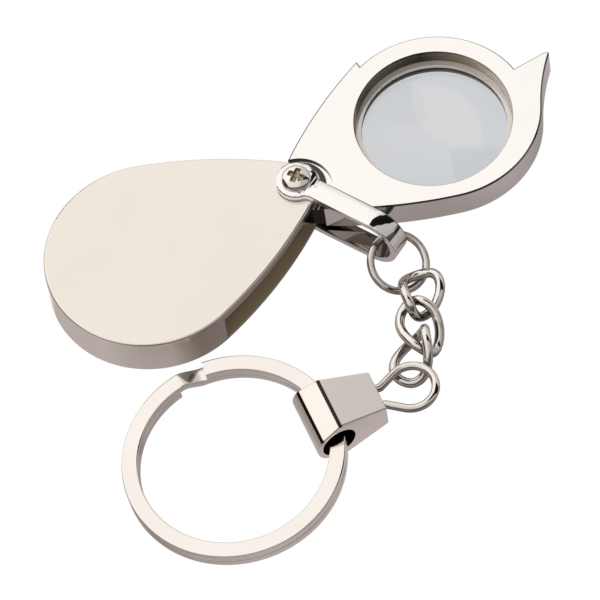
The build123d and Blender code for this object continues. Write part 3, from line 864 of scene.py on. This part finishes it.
# %% [markdown]
# The split ring is one flat strip wound twice round. A rounded rectangle is carried round by angle, and its
# height steps up once, in the short ramp where the strip crosses from the lower turn to the upper one.

# %% Skins from rows of points
def join_rows(shape, first, second):
    """A band of four-sided faces between two closed rows of points."""
    count = len(first)
    return [shape.faces.new((first[k], first[(k + 1) % count], second[(k + 1) % count], second[k]))
            for k in range(count)]


def finished_mesh(shape, name):
    """The mesh of a shape, with its faces turned outwards."""
    bmesh.ops.recalc_face_normals(shape, faces=shape.faces)
    mesh = bpy.data.meshes.new(name)
    shape.to_mesh(mesh)
    shape.free()
    return mesh


def skin(name, rows, material, sharp_angle=35):
    """A closed mesh from equal rows of points, each row a closed section of the piece."""
    shape = bmesh.new()
    rings = [[shape.verts.new(point) for point in row] for row in rows]
    for first, second in zip(rings, rings[1:]):
        join_rows(shape, first, second)
    shape.faces.new(list(reversed(rings[0])))
    shape.faces.new(rings[-1])
    mesh = finished_mesh(shape, name)
    mesh.materials.append(material)
    shade_round(mesh, sharp_angle)
    return mesh


SUPPORT = 0.04


def corner_ways(corners, k):
    """Corner k of a closed outline, and the directions from it to its two neighbours."""
    here = Vector(corners[k][:2])
    back = (Vector(corners[k - 1][:2]) - here).normalized()
    onward = (Vector(corners[(k + 1) % len(corners)][:2]) - here).normalized()
    return here, back, onward


def corner_arc(here, back, onward, radius, reach, steps):
    """A rounded corner's points, from reach before the corner to reach after it.

    A narrow strip of flat is kept beside the arc, so smooth shading doesn't bend the flats.
    """
    half = back.angle(onward) / 2
    centre = here + (back + onward).normalized() * (radius / sin(half))
    first, last = here + back * reach - centre, here + onward * reach - centre
    points = [centre + first + back * SUPPORT]
    for step in range(steps + 1):
        points.append(centre + first.lerp(last, step / steps).normalized() * radius)
    points.append(centre + last + onward * SUPPORT)
    return [tuple(point) for point in points]


def rounded_outline(corners, steps):
    """An outline with its corners, given as x, y and radius, rounded by arcs."""
    outline = []
    for k, (_, _, radius) in enumerate(corners):
        here, back, onward = corner_ways(corners, k)
        half = back.angle(onward) / 2
        outline += corner_arc(here, back, onward, radius, radius / (sin(half) / cos(half)), steps)
    return outline


# %% Split ring
RING_CENTRE, RING_TILT = (-25.7, -31.3, 2.43), radians(4.5)
RING_R, RING_W, TURN_T, TURN_GAP = 15.0, 2.16, 1.2, 0.1
STEP_AT, STEP_ARC, STEP_SLOPE = 88.5, 17.5, 1.7
LOWER, UPPER = -TURN_T - TURN_GAP / 2, TURN_GAP / 2
EDGE, EDGE_STEPS, RING_BORE_R = 0.16, 3, RING_R - RING_W
strip_corners = ((RING_R, 0), (RING_R, TURN_T), (RING_BORE_R, TURN_T), (RING_BORE_R, 0))
strip = rounded_outline([(r, z, EDGE) for r, z in strip_corners], EDGE_STEPS)
ramp_half = STEP_SLOPE / (RING_R - RING_W / 2)
first_angle = radians(STEP_AT + STEP_ARC / 2)
last_angle = first_angle + radians(2 * 360 - STEP_ARC)
ramp_angle = radians(STEP_AT + 360)
ring_place = basis(RING_CENTRE, (cos(RING_TILT), 0, sin(RING_TILT)), (-sin(RING_TILT), 0, cos(RING_TILT)))
STEPS = 560
rows = []
for step in range(STEPS + 1):
    angle = first_angle + (last_angle - first_angle) * step / STEPS
    share = min(1, max(0, (angle - ramp_angle + ramp_half) / (2 * ramp_half)))
    height = LOWER + (UPPER - LOWER) * share * share * (3 - 2 * share)
    rows.append([
        ring_place @ Vector((r * cos(angle) * MM, r * sin(angle) * MM, (z + height) * MM)) for r, z in strip
    ])
mesh = skin("key_ring", rows, RING_NICKEL)
add_object("key_ring", mesh, "split_ring", "split_ring")
print("key_ring", len(mesh.polygons), "faces")

# %% [markdown]
# The screw's head is a low dome with a cross pressed into it. Its top is a height over the plan, so a round
# grid is lifted by one function: the dome minus the cross. A boolean cut could leave needle faces there.

# %% Screw
SHANK_R, HEAD_R, HEAD_SIDE = 1.1, 2.05, 0.14
HEAD_H = (screw_high.z - EYE_TOP) / MM
CROSS_ARM, CROSS_HALF, CROSS_DEPTH, CROSS_TURN = 1.15, 0.40, 0.85, radians(40)
DOME_POWER = 2.1


def soft_step(low, high, value):
    share = min(1, max(0, (value - low) / (high - low)))
    return share * share * (3 - 2 * share)


def cross_mask(x, y):
    """How deep in the cross a point of the head lies, from 0 outside to 1 inside."""
    u, v = x * cos(CROSS_TURN) + y * sin(CROSS_TURN), y * cos(CROSS_TURN) - x * sin(CROSS_TURN)
    arms = []
    for far, near in ((abs(u), abs(v)), (abs(v), abs(u))):
        along_arm = 1 - soft_step(CROSS_ARM - 0.12, CROSS_ARM, far)
        across_arm = 1 - soft_step(CROSS_HALF - 0.08, CROSS_HALF + 0.02, near)
        arms.append(along_arm * across_arm)
    return max(arms)


def head_height(radius, x, y):
    dome = HEAD_SIDE + (HEAD_H - HEAD_SIDE) * (1 - (radius / HEAD_R) ** DOME_POWER) ** (1 / DOME_POWER)
    return dome - cross_mask(x, y) * CROSS_DEPTH * (1 - 0.45 * radius / CROSS_ARM)


def circle(radius, count):
    """Evenly spaced points of a circle, as x and y."""
    return [(radius * cos(2 * pi * k / count), radius * sin(2 * pi * k / count)) for k in range(count)]


def head_radius(ring, rings, steep_rings=16):
    """The radius of a ring of the head: close together near the rim, then evenly to the middle."""
    if ring < steep_rings:
        return HEAD_R * sqrt(1 - (ring / rings) ** 2)
    return HEAD_R * sqrt(1 - (steep_rings / rings) ** 2) * (1 - (ring - steep_rings) / (rings - steep_rings))


def screw_mesh():
    shape = bmesh.new()
    around, rings = 120, 64
    foot = screw_low.z / MM
    eye = EYE_TOP / MM
    column = (
        (SHANK_R * 0.8, foot),
        (SHANK_R, foot + 0.15),
        (SHANK_R, eye),
        (HEAD_R - 0.08, eye),
        (HEAD_R, eye + 0.08),
        (HEAD_R, eye + HEAD_SIDE),
    )
    loops = []
    for radius, z in column:
        loops.append([shape.verts.new(at(x, y, z)) for x, y in circle(radius, around)])
    for ring in range(1, rings):
        radius = head_radius(ring, rings)
        spots = circle(radius, around)
        loops.append([shape.verts.new(at(x, y, eye + head_height(radius, x, y))) for x, y in spots])
    middle = shape.verts.new(at(0, 0, eye + head_height(0, 0, 0)))
    for lower, upper in zip(loops, loops[1:]):
        join_rows(shape, lower, upper)
    for k in range(around):
        shape.faces.new((loops[-1][k], loops[-1][(k + 1) % around], middle))
    shape.faces.new(list(reversed(loops[0])))
    bmesh.ops.recalc_face_normals(shape, faces=shape.faces)
    # Faces deep in the cross take the olive plate: painted shade in the hollow.
    for face in shape.faces:
        spot = (face.calc_center_median() - PIVOT) / MM
        if spot.z > eye + HEAD_SIDE and cross_mask(spot.x, spot.y) > 0.35:
            face.material_index = 1
    mesh = bpy.data.meshes.new("screw")
    shape.to_mesh(mesh)
    shape.free()
    mesh.materials.append(SCREW_NICKEL)
    mesh.materials.append(OLIVE)
    shade_round(mesh, 50)
    return mesh


mesh = screw_mesh()
add_object("screw", mesh, "shackle", "pivot_screw")
print("screw", len(mesh.polygons), "faces")

# %% [markdown]
# The shackle is a flat strip bent to a U, with a round eye at each end. The CAD node already has that
# shape, so a copy of it only gets softer edges. Its loose triangles are joined, flat faces are merged, and a
# Bevel modifier rounds the sharp edges. Hardened normals keep the flats looking flat.

# %% Soft-edged copies of flat pieces
def softened(name, node, width, segments, material, body, sharp_angle=30):
    """A copy of a CAD node with its loose triangles joined and its sharp edges rounded off."""
    copy = nodes[node].data.copy()
    shape = bmesh.new()
    shape.from_mesh(copy)
    bmesh.ops.remove_doubles(shape, verts=shape.verts, dist=2e-6)
    bmesh.ops.dissolve_limit(shape, angle_limit=radians(0.1), verts=shape.verts, edges=shape.edges)
    shape.to_mesh(copy)
    shape.free()
    copy.materials.clear()
    copy.materials.append(material)
    holder = bpy.data.objects.new(name, copy)
    bpy.context.scene.collection.objects.link(holder)
    bevel = holder.modifiers.new("edges", "BEVEL")
    bevel.width = width * MM
    bevel.segments = segments
    bevel.limit_method = "ANGLE"
    bevel.angle_limit = radians(40)
    bevel.use_clamp_overlap = True
    bevel.harden_normals = True
    mesh = plain_mesh(holder, name)
    shade_round(mesh, sharp_angle)
    print(name, len(mesh.polygons), "faces")
    return add_object(name, mesh, body, node)


softened("strap", "shackle", 0.22, 4, STRAP_NICKEL, "shackle")

# %% [markdown]
# The connector block is a wedge seen from the side: a round nose about the cross hole, a short facet up to
# a crease, and a long face down to the tail. In plan it narrows towards the tail. The folds between its
# faces are shown as thin dark lines, a painted reflection, so their narrow strips get the nearly black
# plate. The wall of the hole gets the same plate, as painted shade.

# %% Connector block
HOLE_R, NOSE_R, CREASE_X, CREASE_H = 2.45, 3.2, 0.5, 3.65
FACET_END_X, TAIL_H, NOSE_W, TAIL_W = -2.39, 1.87, 8.9, 6.2
FOLD_REACH, TAIL_R, SIDE_EDGE = 0.27, 0.25, 0.22


def block_outline():
    """Side view of the block, with a mark on each stretch that is a dark fold."""
    facet_h = sqrt(NOSE_R ** 2 - FACET_END_X ** 2)
    corners = [(FACET_END_X, facet_h, TAIL_R), (CREASE_X, CREASE_H, TAIL_R), (TAIL_X, TAIL_H, TAIL_R),
               (TAIL_X, -TAIL_H, TAIL_R), (CREASE_X, -CREASE_H, TAIL_R), (FACET_END_X, -facet_h, TAIL_R)]
    nose_turns = 20
    start = atan2(-facet_h, FACET_END_X) % (2 * pi)
    end = atan2(facet_h, FACET_END_X)
    nose = []
    for k in range(2, nose_turns - 1):
        turn = start + (end - start) * k / nose_turns
        nose.append((NOSE_R * cos(turn), NOSE_R * sin(turn), 0.0))
    ring = corners + nose
    points, folds = [], []
    steps = 6
    for k, (x, y, radius) in enumerate(ring):
        if radius == 0:
            points.append((x, y))
            folds.append(False)
            continue
        here, back, onward = corner_ways(ring, k)
        half = back.angle(onward) / 2
        reach = radius * cos(half) / sin(half) if x > CREASE_X else FOLD_REACH
        points += corner_arc(here, back, onward, reach * sin(half) / cos(half), reach, steps)
        folds += [False] + [step < steps and x < TAIL_X for step in range(steps + 1)] + [False]
    return points, folds


def block_mesh():
    points, folds = block_outline()
    slope = (NOSE_W - TAIL_W) / (TAIL_X + NOSE_R) / 2

    def half_width(x):
        return NOSE_W / 2 - slope * (x + NOSE_R)

    shape = bmesh.new()
    layers = []
    edge_steps = 4
    near_side = [(k, 0.0) for k in range(edge_steps + 1)] + [(edge_steps, SUPPORT)]
    offsets = [(-1, k, kept) for k, kept in near_side] + [(1, k, kept) for k, kept in reversed(near_side)]
    centre = Vector((2.0, 0.0))
    for sign, k, kept in offsets:
        turn_share = pi / 2 * k / edge_steps
        inward, outward = SIDE_EDGE * (1 - sin(turn_share)), SIDE_EDGE * (1 - cos(turn_share)) + kept
        layer = []
        for x, y in points:
            spot = Vector((x, y))
            pulled = spot + (centre - spot).normalized() * inward
            depth = sign * (half_width(pulled.x) - outward)
            layer.append(shape.verts.new((pulled.x * MM, depth * MM, pulled.y * MM)))
        layers.append(layer)
    for first, second in zip(layers, layers[1:]):
        for face, fold in zip(join_rows(shape, first, second), folds):
            # Fold strips take the nearly black plate: a painted reflection.
            face.material_index = 1 if fold else 0
    shape.faces.new(list(reversed(layers[0])))
    shape.faces.new(layers[-1])
    return finished_mesh(shape, "block_body")


def bored(mesh, radius, length):
    """Cuts a round hole along local Y through the origin."""
    drill_shape = bmesh.new()
    bmesh.ops.create_cone(
        drill_shape, cap_ends=True, segments=72, radius1=radius * MM, radius2=radius * MM,
        depth=length * MM, matrix=Matrix.Rotation(pi / 2, 4, "X"),
    )
    drill_mesh = bpy.data.meshes.new("drill")
    drill_shape.to_mesh(drill_mesh)
    drill_shape.free()
    # The hole's wall takes the nearly black plate: painted shade.
    for face in drill_mesh.polygons:
        face.material_index = 1
    drill = bpy.data.objects.new("drill", drill_mesh)
    holder = bpy.data.objects.new("block_holder", mesh)
    for item in (drill, holder):
        bpy.context.scene.collection.objects.link(item)
    for material in (BLOCK_NICKEL, DARK):
        mesh.materials.append(material)
        drill_mesh.materials.append(material)
    cut = holder.modifiers.new("hole", "BOOLEAN")
    cut.operation = "DIFFERENCE"
    cut.object = drill
    cut.solver = "EXACT"
    result = plain_mesh(holder, "wedge_block")
    bpy.data.objects.remove(drill)
    return result


mesh = bored(block_mesh(), HOLE_R, 2 * NOSE_W)
mesh.transform(basis(BLOCK_CENTRE, (cos(BLOCK_TURN), sin(BLOCK_TURN), 0), (0, 0, 1)))
shade_round(mesh, 28)
add_object("wedge_block", mesh, "connector", "connector_block")
print("wedge_block", len(mesh.polygons), "faces")

# %% [markdown]
# The case, the lens frame, the lens, its ring and the washers stay as they are in the CAD model and only
# get a finish. The nodes that finer pieces stand for get the same finish as those pieces.

# %% Finish the CAD nodes
FINISHES = {
    "case": SATIN,
    "lens_frame": FRAME_NICKEL,
    "lens_retaining_ring": RETAINER,
    "lens": GLASS,
    "upper_friction_washer": NYLON,
    "lower_friction_washer": NYLON,
    "pivot_screw": SCREW_NICKEL,
    "shackle": STRAP_NICKEL,
    "shackle_ring": WIRE,
    "chain_link_1": WIRE,
    "chain_link_2": WIRE,
    "chain_link_3": WIRE,
    "end_loop": WIRE,
    "connector_block": BLOCK_NICKEL,
    "split_ring": RING_NICKEL,
}
for name, material in FINISHES.items():
    for number in range(max(1, len(nodes[name].material_slots))):
        if not nodes[name].material_slots:
            nodes[name].data.materials.append(material)
        nodes[name].material_slots[number].material = material
print("finished", len(FINISHES), "nodes")

# %% Done
print("scene built")
